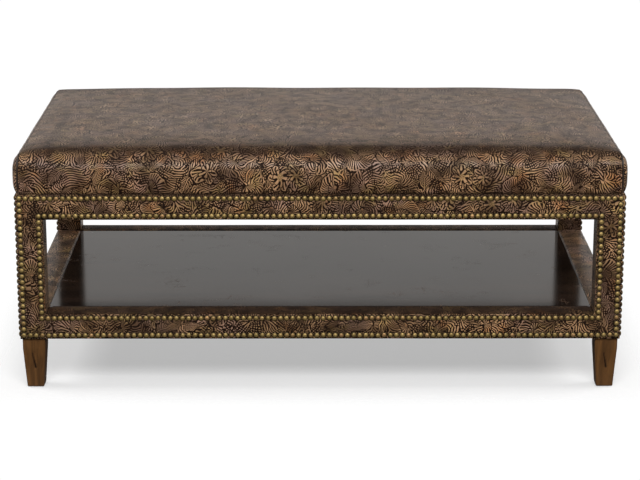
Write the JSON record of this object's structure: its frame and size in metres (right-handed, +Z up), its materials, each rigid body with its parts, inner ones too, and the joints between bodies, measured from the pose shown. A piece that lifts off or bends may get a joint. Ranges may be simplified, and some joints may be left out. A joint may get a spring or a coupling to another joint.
{
  "type": "upholstered footstool",
  "caption": "Low rectangular footstool: padded leather seat on an open leather-covered frame with a lower wooden shelf and tapered feet.",
  "frame": {"origin": "on the floor under the middle of the stool", "axes": "+X to the right along the stool, +Y to the back, +Z up"},
  "size_m": [1.233, 0.714, 0.5],
  "materials": {
    "tooled_leather": "antiqued embossed leather, satin, dark in the grooves",
    "welt_leather": "smooth dark leather over cord",
    "brass": "antique brass nail heads, domed",
    "foot_wood": "walnut brown stain, satin lacquer, lightly distressed",
    "shelf_wood": "dark brown lacquer, semi-gloss, fine scratches",
    "frame_wood": "bare hardwood, hidden under leather",
    "plywood": "bare plywood",
    "steel": "zinc plated",
    "glide": "moulded, matt",
    "foam": "open-cell cushion foam",
    "wadding": "bonded polyester fibre",
    "cambric": "thin black cloth"
  },
  "bodies": {
    "root": {"foot_front_left": "foot_wood", "foot_front_right": "foot_wood", "foot_back_left": "foot_wood", "foot_back_right": "foot_wood", "foot_glide_front_left": "glide", "foot_glide_front_right": "glide", "foot_glide_back_left": "glide", "foot_glide_back_right": "glide", "foot_bolt_front_left": "steel", "foot_bolt_front_right": "steel", "foot_bolt_back_left": "steel", "foot_bolt_back_right": "steel", "post_front_left": "frame_wood", "post_front_right": "frame_wood", "post_back_left": "frame_wood", "post_back_right": "frame_wood", "post_leather_front_left": "tooled_leather", "post_leather_front_right": "tooled_leather", "post_leather_back_left": "tooled_leather", "post_leather_back_right": "tooled_leather", "bottom_rail_front": "frame_wood", "bottom_rail_back": "frame_wood", "bottom_rail_left": "frame_wood", "bottom_rail_right": "frame_wood", "bottom_rail_leather_front": "tooled_leather", "bottom_rail_leather_back": "tooled_leather", "bottom_rail_leather_left": "tooled_leather", "bottom_rail_leather_right": "tooled_leather", "top_rail_front": "frame_wood", "top_rail_back": "frame_wood", "top_rail_left": "frame_wood", "top_rail_right": "frame_wood", "top_rail_leather_front": "tooled_leather", "top_rail_leather_back": "tooled_leather", "top_rail_leather_left": "tooled_leather", "top_rail_leather_right": "tooled_leather", "shelf_cleat_front": "frame_wood", "shelf_cleat_back": "frame_wood", "shelf_cleat_left": "frame_wood", "shelf_cleat_right": "frame_wood", "shelf_board": "shelf_wood", "corner_block_front_left": "frame_wood", "corner_block_front_right": "frame_wood", "corner_block_back_left": "frame_wood", "corner_block_back_right": "frame_wood", "seat_screw_front_left": "steel", "seat_screw_front_right": "steel", "seat_screw_back_left": "steel", "seat_screw_back_right": "steel", "top_cross_rail": "frame_wood", "dust_cover": "cambric", "seat_deck": "plywood", "seat_foam": "foam", "seat_padding_wrap": "wadding", "seat_cover_main": "tooled_leather", "seat_cover_left": "tooled_leather", "seat_cover_right": "tooled_leather", "seat_welt_left": "welt_leather", "seat_welt_right": "welt_leather"}
  },
  "joints": []
}
